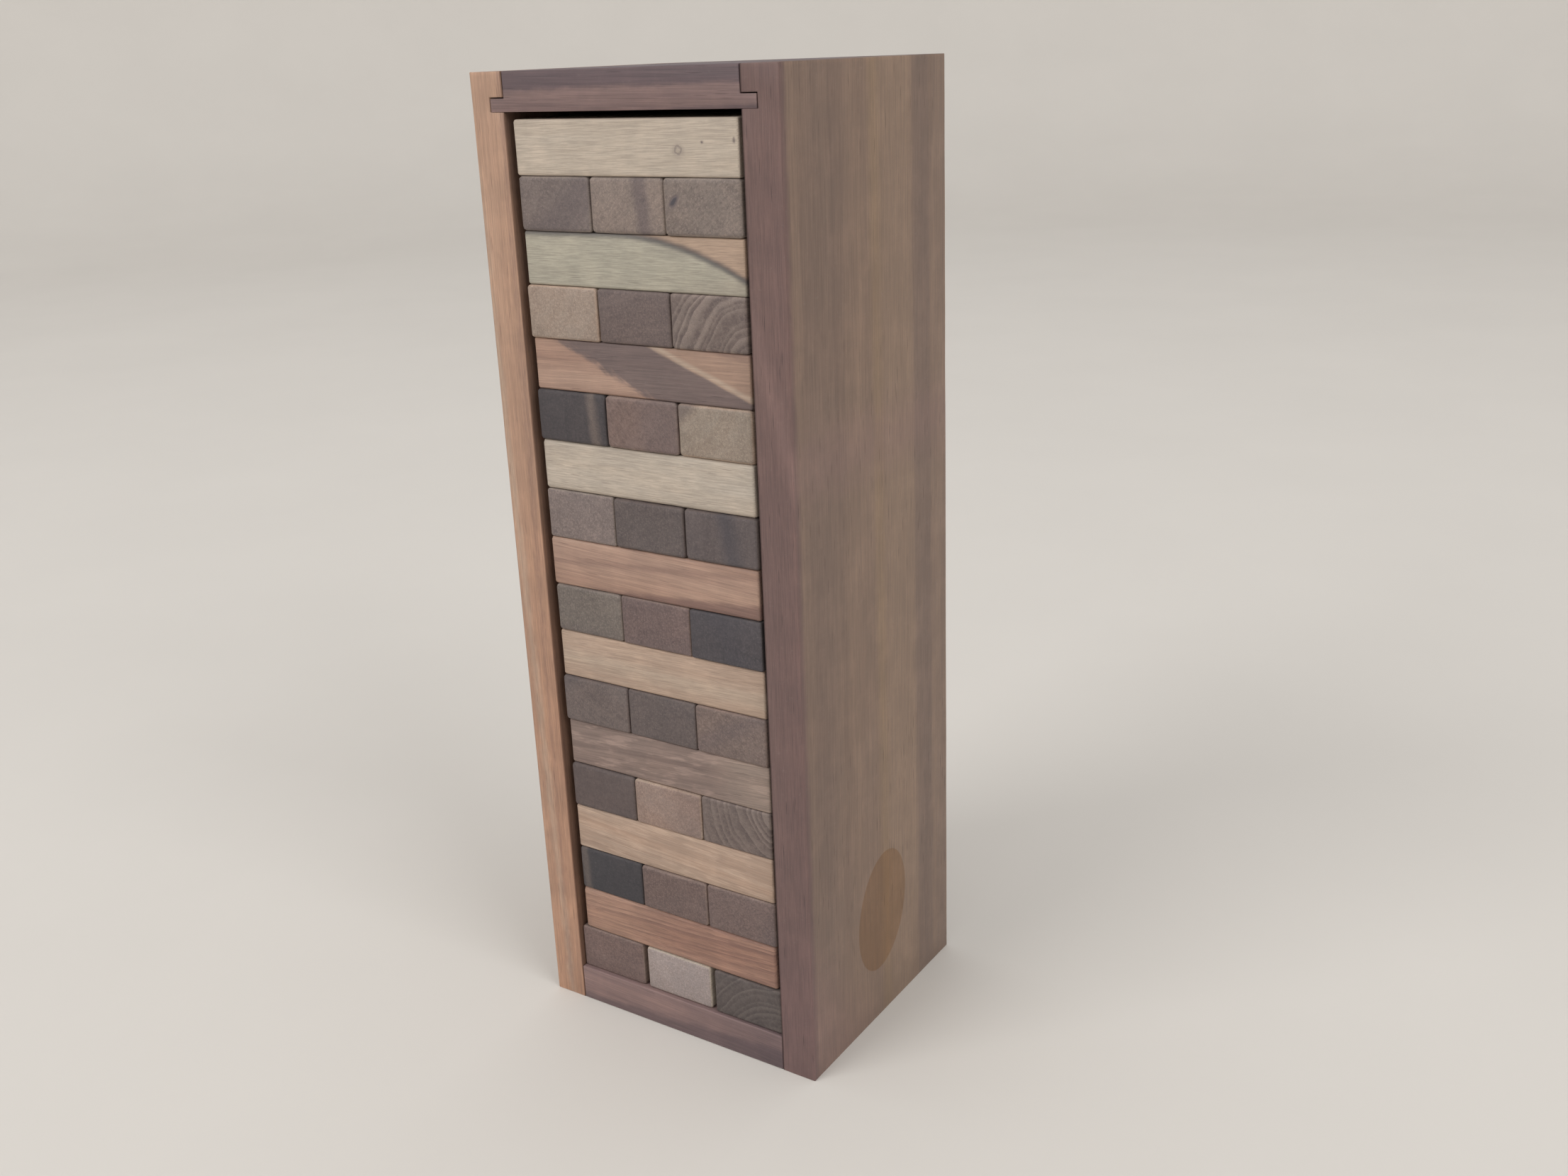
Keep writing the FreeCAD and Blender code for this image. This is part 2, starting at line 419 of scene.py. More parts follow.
plainLook = dict(  # what a board or block has unless its own look says otherwise
    pith=(22, 14, -30), tilt=(0, 0, 0), ringWidth=3.2, rings=0.3, waver=1.6, drift=0.7, streaks=0.5,
    flecks=0.5, figure=0.0, rays=0.2, pores=0.55, endTone=(0.60, 0.57, 0.57), shade=1.0, veins=(), knots=(),
    # the edge entries give paler edges, partly rubbed wear and partly a painted highlight
    edgeReach=0.9, edgeWear=0.15, edgeTone=(1.28, 1.24, 1.2), dust=0.05, dustTone=(0.62, 0.56, 0.50),
    dullness=0.06, gloss=0.24, varnish=0.0, varnishRoughness=0.38, relief=0.8)
plainVein = dict(kind="Band", at=(0, 0, 0), lean=0, turn=0, bend=0.0, halfWidth=1.0, softness=0.5, waver=0.5,
                 strength=0.8, ink="duskBrown", showsGrain=0.15)
knotMarks = dict(halo=0.22, ink="duskBrown", sunk=-0.08)
rubMarks = dict(dull=(0.93, 0.93, 0.93, 1), bright=(1.05, 1.04, 1.03, 1), polish=-0.07)
# painted shade: a darker tone for the face of a side board that looks into the box
paintedInnerShade = dict(start=0.7, full=0.1, tone=(0.4, 0.38, 0.38, 1), dull=0.2)  # depths below the face, in mm
windowRim = dict(inner=0.985, start=1.5, full=0.5)  # inner is a share of the oval's size


def opaque(colour):
    return (*colour, 1.0)


def makeTimber(name, ownLook, low, high):
    look = {**plainLook, **ownLook}
    centre = (low + high) / 2
    half = (high - low) / 2 / mm
    seed = look["seed"]
    material = bpy.data.materials.new(name)
    material.use_nodes = True
    tree = material.node_tree
    surface = tree.nodes["Principled BSDF"]
    coordinates = tree.nodes.new("ShaderNodeTexCoord").outputs["Object"]
    place = addMapping(tree, coordinates, centre, scale=(mm, mm, mm))
    turn = [a + math.radians(b) for a, b in zip(grainTurns[look["axis"]], look["tilt"])]
    grain = addMapping(tree, place, look["pith"], turn)
    tone = {key: opaque(Vector(value) * look["shade"]) for key, value in timbers[look["timber"]].items()}
    tone["endTone"] = opaque(look["endTone"])
    tone["grainAxis"] = grainAxes[look["axis"]]
    grown = placeGroup(tree, hardwoodGroup, **{**look, **tone}, grain=grain)
    colour = grown["Color"]
    height = grown["Height"]
    for index, ownVein in enumerate(look["veins"]):
        vein = {**plainVein, **ownVein}
        veinTurn = (math.radians(vein["lean"]), math.radians(vein["turn"]), 0)
        space = addMapping(tree, place, vein["at"], veinTurn)
        band = placeGroup(tree, veinGroup, **vein, bandSpace=space, seed=seed + index)
        mask = addTimes(tree, band[vein["kind"]], vein["strength"])
        tinted = addTint(tree, opaque(inks[vein["ink"]]), grown["Detail"])
        colour = addMix(tree, mask, colour, addMix(tree, vein["showsGrain"], tinted, colour))
    for index, knot in enumerate(look["knots"]):
        space = addMapping(tree, place, knot["at"], (0, math.radians(knot.get("turn", 0)), 0), knot["size"])
        spot = placeGroup(tree, knotGroup, knotSpace=space, seed=seed + index)
        zones = (("Halo", knotMarks["halo"], knotMarks["ink"]), ("Core", knot["core"], knot["ink"]),
                 ("Rim", knot["rim"], knotMarks["ink"]))
        for zone, share, ink in zones:
            colour = addMix(tree, addTimes(tree, spot[zone], share), colour, opaque(inks[ink]))
        height = addSum(tree, height, (spot["Rim"], knotMarks["sunk"]))
    # paler edges: partly rubbed wear, partly a painted highlight along the arrises
    edge = placeGroup(tree, edgeWearHighlightGroup, place=place, halfSize=half, reach=look["edgeReach"], seed=seed)
    rubbedAndHighlit = addTint(tree, colour, opaque(look["edgeTone"]))
    colour = addMix(tree, addTimes(tree, edge["Edge"], look["edgeWear"]), colour, rubbedAndHighlit)
    marks = placeGroup(tree, handlingGroup, place=place, seed=seed)
    colour = addTint(tree, colour, addMix(tree, marks["Rub"], rubMarks["dull"], rubMarks["bright"]))
    dust = addTimes(tree, marks["Dust"], look["dust"])
    colour = addMix(tree, dust, colour, opaque(look["dustTone"]))
    # painted haze of light over all the wood
    colour = addMix(tree, paintedHaze["share"], colour, opaque(paintedHaze["tone"]))
    roughness = addSum(tree, grown["Roughness"], (marks["Rub"], rubMarks["polish"]))
    roughness = addMath(tree, "ADD", roughness, look["dullness"])
    if "rawSide" in look:  # painted shade: the face that looks into the box is darkened where shade falls inside it, and its roughness is raised
        depth = addTimes(tree, addSplit(tree, place)["X"], look["rawSide"])
        inward = addStep(tree, depth, half.x - paintedInnerShade["start"], half.x - paintedInnerShade["full"])
        colour = addMix(tree, inward, colour, addTint(tree, colour, paintedInnerShade["tone"]))
        roughness = addSum(tree, roughness, (inward, paintedInnerShade["dull"]))
    if "window" in look:  # an oval with a warmer finish
        window = look["window"]
        space = addMapping(tree, place, window["at"], (math.radians(window["turn"]), 0, 0), window["size"])
        flat = addVectorMath(tree, "MULTIPLY", space, (0, 1, 1))
        away = addVectorMath(tree, "LENGTH", flat, outlet="Value")
        outward = addSplit(tree, place)["X"]
        onFace = addStep(tree, outward, half.x - windowRim["start"], half.x - windowRim["full"])
        inside = addTimes(tree, addStep(tree, away, windowRim["inner"], 1.0, fromHigh=True), onFace)
        colour = addMix(tree, inside, colour, addTint(tree, colour, opaque(window["tone"])))
        roughness = addSum(tree, roughness, (inside, window["dull"]))
    tree.links.new(colour, surface.inputs["Base Color"])
    tree.links.new(roughness, surface.inputs["Roughness"])
    bump = tree.nodes.new("ShaderNodeBump")
    bump.inputs["Distance"].default_value = mm
    bump.inputs["Strength"].default_value = look["relief"]
    tree.links.new(height, bump.inputs["Height"])
    tree.links.new(bump.outputs["Normal"], surface.inputs["Normal"])
    surface.inputs["Specular IOR Level"].default_value = look["gloss"]
    surface.inputs["Coat Weight"].default_value = look["varnish"]
    surface.inputs["Coat Roughness"].default_value = look["varnishRoughness"]
    return material


# mesh helpers: everything is made by operators in edit mode, selected by place

cornerCosine = 0.5  # two faces meet at a corner when their normals agree less than this
facing = 0.9  # and a face looks along an axis when its normal does so by more than this
smoothUnder = math.radians(40)


def inEdit(piece, mode="FACE"):
    bpy.ops.object.select_all(action="DESELECT")
    piece.select_set(True)
    bpy.context.view_layer.objects.active = piece
    bpy.ops.object.mode_set(mode="EDIT")
    bpy.ops.mesh.select_mode(type=mode)
    bpy.ops.mesh.select_all(action="DESELECT")


def inObject():
    bpy.ops.object.mode_set(mode="OBJECT")


def addSlab(name, low, high):
    bpy.ops.object.select_all(action="DESELECT")
    bpy.ops.mesh.primitive_cube_add(size=1)
    piece = bpy.context.object
    piece.name = name
    piece.data.name = name
    inEdit(piece)
    bpy.ops.mesh.select_all(action="SELECT")
    bpy.ops.transform.resize(value=high - low)
    bpy.ops.transform.translate(value=(low + high) / 2)
    inObject()
    return piece


def cutAcross(piece, axis, distances):
    inEdit(piece)
    normal = Vector((axis == "x", axis == "y", axis == "z"))
    for distance in distances:
        bpy.ops.mesh.select_all(action="SELECT")
        bpy.ops.mesh.bisect(plane_co=normal * distance, plane_no=normal)
    bpy.ops.mesh.select_all(action="DESELECT")
    inObject()


def pickFaces(piece, wanted):  # ends in edit mode, with the wanted faces selected
    inEdit(piece)
    inObject()
    for face in piece.data.polygons:
        face.select = bool(wanted(face.center, face.normal))
    bpy.ops.object.mode_set(mode="EDIT")


def sharpEdges(piece):  # keys of the edges whose two faces meet at a corner
    normals = {}
    for face in piece.data.polygons:
        for key in face.edge_keys:
            normals.setdefault(key, []).append(face.normal)
    return {key for key, pair in normals.items() if len(pair) == 2 and pair[0].dot(pair[1]) < cornerCosine}


def easeEdges(piece, width, segments, wanted=None):
    sharp = sharpEdges(piece)
    inEdit(piece, "EDGE")
    inObject()
    corners = piece.data.vertices
    for edge in piece.data.edges:
        ends = [corners[i].co for i in edge.vertices]
        edge.select = edge.key in sharp and (wanted is None or wanted(*ends))
    bpy.ops.object.mode_set(mode="EDIT")
    bpy.ops.mesh.bevel(offset=width, offset_type="OFFSET", segments=segments, profile=0.5, affect="EDGES",
                       clamp_overlap=True)
    inObject()


def roughen(piece, amount, seed):  # tiny unevenness of sawn and sanded wood
    inEdit(piece, "VERT")
    bpy.ops.mesh.select_all(action="SELECT")
    bpy.ops.transform.vertex_random(offset=amount, uniform=1.0, normal=0.0, seed=seed)
    inObject()


def keepWithin(piece, low, high):  # nothing stands proud of the design's own size
    for corner in piece.data.vertices:
        corner.co = [min(max(value, least), most) for value, least, most in zip(corner.co, low, high)]


def finishPiece(piece, node, material):
    piece.data.materials.clear()
    piece.data.materials.append(material)
    bpy.ops.object.select_all(action="DESELECT")
    piece.select_set(True)
    bpy.context.view_layer.objects.active = piece
    bpy.ops.object.shade_smooth_by_angle(angle=smoothUnder)
    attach(piece, bodyOfNode[node])
    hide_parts(node)


def evenly(low, high, pitch):  # cut places between two ends
    count = max(1, round((high - low) / pitch))
    return [low + (high - low) * i / count for i in range(1, count)]


# camera, floor and light

stage = dict(
    cameraAt=(0.2673, -0.3762, 0.2988), heading=33.558, down=19.243, roll=-2.241, lens=35.41, sensor=36.0,
    floorRadius=2.3, floorSides=96, floorTone=(0.64, 0.605, 0.56), floorRoughness=0.6, floorGloss=0.25,
    cloudScale=6.0, cloudShades=(0.97, 1.03),
    # growth and rise of each step of the backdrop
    sweep=((1.12, 0.02), (1.1, 0.08), (1.08, 0.16), (1.06, 0.28), (1.03, 0.42), (1.01, 0.56)),
    skyTone=(0.985, 0.99, 1.0, 1), skyStrength=0.56,
    lights=[
        dict(name="overhead", at=(-0.33, 0.22, 3.4), aim=0.1, size=3.5, power=19.5, tone=(1, 1, 1)),
        dict(name="frontLeft", at=(-1.38, -3.1, 2.62), aim=0.15, size=2.2, power=78, tone=(1, 1, 1)),
        dict(name="right", at=(3.27, -0.94, 2.62), aim=0.15, size=2.2, power=66, tone=(0.98, 0.99, 1))])


def setCamera():
    data = bpy.data.cameras.new("camera")
    data.lens = stage["lens"]
    data.sensor_width = stage["sensor"]
    camera = bpy.data.objects.new("camera", data)
    bpy.context.scene.collection.objects.link(camera)
    camera.matrix_world = (
        Matrix.Translation(stage["cameraAt"])
        @ Matrix.Rotation(math.radians(stage["heading"]), 4, "Z")
        @ Matrix.Rotation(math.radians(90 - stage["down"]), 4, "X")
        @ Matrix.Rotation(math.radians(stage["roll"]), 4, "Z"))
    bpy.context.scene.camera = camera


def addLight(name, at, aim, size, power, tone):  # aim is a height on the object's own axis
    data = bpy.data.lights.new(name, "AREA")
    data.shape = "SQUARE"
    data.size = size
    data.energy = power
    data.color = tone
    light = bpy.data.objects.new(name, data)
    light.visible_camera = False
    light.location = at
    light.rotation_euler = (Vector((0, 0, aim)) - Vector(at)).to_track_quat("-Z", "Y").to_euler()
    bpy.context.scene.collection.objects.link(light)


def makeFloor():
    bpy.ops.object.select_all(action="DESELECT")
    bpy.ops.mesh.primitive_circle_add(vertices=stage["floorSides"], radius=stage["floorRadius"],
                                      fill_type="NGON")
    floor = bpy.context.object
    floor.name = "floor"
    inEdit(floor, "EDGE")
    bpy.ops.mesh.select_all(action="SELECT")
    for growth, rise in stage["sweep"]:  # a plain backdrop that sweeps up from the floor all round
        bpy.ops.mesh.extrude_edges_move(TRANSFORM_OT_translate={"value": (0, 0, rise)})
        bpy.ops.transform.resize(value=(growth, growth, 1), center_override=(0, 0, 0))
    inObject()
    bpy.ops.object.shade_smooth()
    material = bpy.data.materials.new("plainFloor")
    material.use_nodes = True
    tree = material.node_tree
    surface = tree.nodes["Principled BSDF"]
    coordinates = tree.nodes.new("ShaderNodeTexCoord").outputs["Object"]
    cloud = addNoise(tree, coordinates, stage["cloudScale"], detail=3.0)["Fac"]
    shades = [opaque(Vector(stage["floorTone"]) * shade) for shade in stage["cloudShades"]]
    feed(tree, surface.inputs["Base Color"], addMix(tree, cloud, *shades))
    surface.inputs["Roughness"].default_value = stage["floorRoughness"]
    surface.inputs["Specular IOR Level"].default_value = stage["floorGloss"]
    floor.data.materials.append(material)


def setLights():
    world = bpy.data.worlds.new("softStudio")
    bpy.context.scene.world = world
    world.use_nodes = True
    background = world.node_tree.nodes["Background"]
    background.inputs["Color"].default_value = stage["skyTone"]
    background.inputs["Strength"].default_value = stage["skyStrength"]
    for light in stage["lights"]:
        addLight(**light)


bpy.context.scene.view_settings.view_transform = "Standard"
setCamera()
makeFloor()
setLights()
print("camera, floor and light set")


# the box: what its boards share

board = dict(wander=0.035 * mm, cutPitch=16 * mm, finish=dict(dullness=0.0, varnish=0.08))


def finishBoard(piece, made, low, high):
    roughen(piece, board["wander"], made["seed"])
    keepWithin(piece, low, high)
    look = {**board["finish"], **made["look"]}
    finishPiece(piece, made["node"], makeTimber(made["node"] + "_timber", look, low, high))


def above(**vein):  # a vein that tints all of the wood on one side of its plane
    return dict(vein, kind="Above")


# the side boards, with the grooves that hold the lid

sideBoard = dict(grooveDepth=5.05 * mm, grooveHeight=3.95 * mm, grooveEase=0.25 * mm, grooveSteps=2,
                 grooveReach=0.5 * mm, easeWidth=0.75 * mm, easeSteps=3, weldWithin=0.01 * mm)
sideLeft = dict(node="side_left", seed=11, look=dict(
    timber="honey", axis="z", seed=3.1, pith=(-34, 25, 0), tilt=(0.8, 0.5, 0), ringWidth=4.0, rings=0.4,
    shade=1.06, waver=3.4, drift=0.8, streaks=0.55, figure=0.12, pores=0.5, flecks=0.2,
    # the last entry on the next line puts painted shade on the face that looks into the box
    endTone=(0.55, 0.5, 0.5), edgeReach=1.2, edgeWear=0.35, rawSide=1,
    veins=[above(at=(0, 0, 20), turn=4, softness=70, waver=0, strength=0.3, ink="paleSap", showsGrain=0.5),
           dict(at=(-3.5, 0, 0), turn=88.5, halfWidth=1.1, softness=1.3, waver=0.9, strength=0.4,
                ink="paleSap"),
           dict(at=(2.5, 0, 0), turn=91, halfWidth=0.6, softness=1.0, waver=1.0, strength=0.35,
                ink="redBrown"),
           above(at=(-5.4, 0, 0), turn=-90, waver=0.1, ink="oliveLight", showsGrain=0.45),
           dict(at=(-6, -14, 40), lean=89, halfWidth=11, softness=5, waver=1.4, strength=0.35,
                ink="oliveDark"),
           dict(at=(-6, 30, 0), lean=91, halfWidth=7, softness=5, waver=1.2, strength=0.3,
                ink="oliveDark")]))
sideRight = dict(node="side_right", seed=12, look=dict(
    timber="olive", axis="z", seed=8.4, pith=(-30, 6, 0), tilt=(-1.2, 0.4, 0), ringWidth=9.0, waver=3.0,
    drift=0.55, streaks=0.35, pores=0.65, flecks=0.2, endTone=(0.6, 0.56, 0.55), edgeReach=1.2, edgeWear=0.3,
    # painted shade on the face that looks into the box
    rawSide=-1,
    window=dict(at=(5.8, -0.7, -110.5), size=(1, 14.8, 20.4), turn=-13, tone=(0.85, 0.715, 0.55), dull=-0.08),
    veins=[dict(at=(0, 28.5, 0), lean=90, halfWidth=5.2, softness=0.8, waver=0.4, strength=0.48,
                ink="oliveDark"),
           dict(at=(0, 13.5, 50), lean=90, halfWidth=9.5, softness=3, waver=1.0, strength=0.55,
                ink="oliveLight"),
           dict(at=(0, -29, 40), lean=87, halfWidth=11, softness=6.0, waver=1.4, strength=0.4,
                ink="oliveDark"),
           dict(at=(0, 1.8, 0), lean=90, halfWidth=2.6, softness=2.4, waver=0.7, strength=0.45,
                ink="oliveGold"),
           above(at=(0, -28, -128), lean=130, softness=14, waver=0, strength=0.65, ink="rosyPale",
                 showsGrain=0.3),
           above(at=(0, -41.8, 0), lean=90, softness=1.6, strength=0.85, ink="rosy"),
           dict(at=(1, -42, 60), turn=74, halfWidth=2.2, softness=2.2, waver=0.8, strength=0.4,
                ink="rosyPale")]))


def makeSideBoard(made):
    node = made["node"]
    low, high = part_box(node)
    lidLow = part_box("sliding_lid")[0]
    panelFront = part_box("back_panel")[0].y
    outwards = 1 if low.x + high.x > 0 else -1
    inner = low.x if outwards > 0 else high.x
    grooveX = inner + outwards * sideBoard["grooveDepth"]
    grooveTop = lidLow.z + sideBoard["grooveHeight"]
    piece = addSlab("board_" + node, Vector((low.x, panelFront, low.z)), high)
    cutAcross(piece, "x", [grooveX])
    cutAcross(piece, "z", [lidLow.z, grooveTop])

    def buildsForward(centre, normal):  # all of the front but the mouth of the groove
        inGroove = lidLow.z < centre.z < grooveTop and (centre.x - grooveX) * outwards < 0
        return normal.y < -facing and not inGroove

    pickFaces(piece, buildsForward)
    bpy.ops.mesh.extrude_region_move(TRANSFORM_OT_translate={"value": (0, low.y - panelFront, 0)})
    bpy.ops.mesh.select_all(action="SELECT")
    bpy.ops.mesh.remove_doubles(threshold=sideBoard["weldWithin"])
    bpy.ops.mesh.normals_make_consistent(inside=False)
    inObject()

    def ofGroove(a, b):
        middle = (a + b) / 2
        beside = (middle.x - grooveX) * outwards < sideBoard["grooveReach"]
        return lidLow.z - mm < middle.z < grooveTop + mm and beside

    easeEdges(piece, sideBoard["grooveEase"], sideBoard["grooveSteps"], ofGroove)
    easeEdges(piece, sideBoard["easeWidth"], sideBoard["easeSteps"], lambda a, b: not ofGroove(a, b))
    cutAcross(piece, "z", evenly(low.z, lidLow.z, board["cutPitch"]))
    finishBoard(piece, made, low, high)


makeSideBoard(sideLeft)
makeSideBoard(sideRight)


# the back and the floor

plainBoard = dict(easeWidth=0.45 * mm, easeSteps=3)
backPanel = dict(node="back_panel", seed=13, look=dict(
    timber="olive", axis="z", seed=5.7, pith=(14, -46, 0), tilt=(0.9, -0.8, 0), ringWidth=6.0, rings=0.4,
    waver=4.0, drift=0.8, streaks=0.45, pores=0.5, flecks=0.25, edgeReach=1.0, edgeWear=0.3))
floorBoard = dict(node="floor_board", seed=14, look=dict(
    timber="plum", axis="x", seed=2.3, pith=(0, -18, -16), tilt=(0, 1.5, 0), ringWidth=3.4, rings=0.4,
    waver=2.4, drift=0.8, streaks=0.6, pores=0.5, flecks=0.25, edgeReach=1.0, edgeWear=0.35, shade=1.17,
    veins=[above(at=(8, -39, -1.2), turn=176.5, softness=1.3, waver=0.7, strength=0.7, ink="plumDark"),
           above(at=(20, -39, 0), turn=90, softness=30, waver=0, strength=0.78, ink="plumDark",
                 showsGrain=0.2)]))


def makePlainBoard(made):
    node = made["node"]
    low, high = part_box(node)
    piece = addSlab("board_" + node, low, high)
    easeEdges(piece, plainBoard["easeWidth"], plainBoard["easeSteps"])
    for axis, start, end in zip("xyz", low, high):
        cutAcross(piece, axis, evenly(start, end, board["cutPitch"]))
    finishBoard(piece, made, low, high)


makePlainBoard(backPanel)
makePlainBoard(floorBoard)


# the lid, with a tongue along each side

lid = dict(node="sliding_lid", seed=15, tongueHeight=3.65 * mm, play=0.2 * mm, easeWidth=0.3 * mm,
           easeSteps=2, look=dict(
    timber="plum", axis="x", seed=6.6, pith=(0, -12, -22), tilt=(0, 1.0, 0), ringWidth=3.6, rings=0.35,
    waver=2.0, streaks=0.55, pores=0.5, flecks=0.2, edgeWear=0.3,
    veins=[above(at=(0, -38, 0.6), turn=-0.8, softness=1.0, waver=0.6, strength=0.95, ink="plumDark",
                 showsGrain=0.18),
           above(at=(20, -38, -4.9), turn=178.5, softness=0.8, waver=0.3, strength=0.75, ink="plumDark")]))


def makeLid():
    node = lid["node"]
    low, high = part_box(node)
    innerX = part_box("side_right")[0].x - lid["play"]
    tongueTop = low.z + lid["tongueHeight"]
    piece = addSlab("board_" + node, low, Vector((high.x, high.y, tongueTop)))
    cutAcross(piece, "x", [-innerX, innerX])
    pickFaces(piece, lambda centre, normal: normal.z > facing and abs(centre.x) < innerX)
    bpy.ops.mesh.extrude_region_move(TRANSFORM_OT_translate={"value": (0, 0, high.z - tongueTop)})
    inObject()
    easeEdges(piece, lid["easeWidth"], lid["easeSteps"])
    for axis, start, end in zip("xy", low, high):
        cutAcross(piece, axis, evenly(start, end, board["cutPitch"]))
    finishBoard(piece, lid, low, high)


makeLid()
print("box and lid made")


# the blocks: three masters, eased a little differently, and a copy with its own mesh for each block

block = dict(length=75.6 * mm, width=25.1 * mm, height=15.04 * mm, cutPitch=7.5 * mm,
             chanceSeed=54, tilt=(-1.5, 1.5), pithAside=(-30, 30), pithAbove=(20, 50),
             grainSeed=0.9, seedStep=1.7,
             masters=[dict(ease=0.8 * mm, steps=4, wander=0.03 * mm, seed=21),
                      dict(ease=1.0 * mm, steps=4, wander=0.045 * mm, seed=22),
                      dict(ease=1.25 * mm, steps=5, wander=0.06 * mm, seed=23)])


def makeMaster(index, cut):
    half = Vector((block["length"], block["width"], block["height"])) / 2
    piece = addSlab(f"master{index}", -half, half)
    easeEdges(piece, cut["ease"], cut["steps"])
    for axis, reach in zip("xyz", half):
        cutAcross(piece, axis, evenly(-reach, reach, block["cutPitch"]))
    roughen(piece, cut["wander"], cut["seed"])
    keepWithin(piece, -half, half)
    return piece


def placeBlock(master, name, low, high, turns):
    piece = bpy.data.objects.new(name, master.data.copy())
    bpy.context.scene.collection.objects.link(piece)
    endOn = high.y - low.y > high.x - low.x
    turn = Matrix.Rotation(math.radians(90), 4, "Z") if endOn else Matrix.Identity(4)
    for half, axis in zip(turns, "XZ"):  # turned over, or end for end, so that copies don't look alike
        turn = turn @ Matrix.Rotation(math.pi * half, 4, axis)
    piece.data.transform(Matrix.Translation((low + high) / 2) @ turn)
    keepWithin(piece, low, high)
    return piece


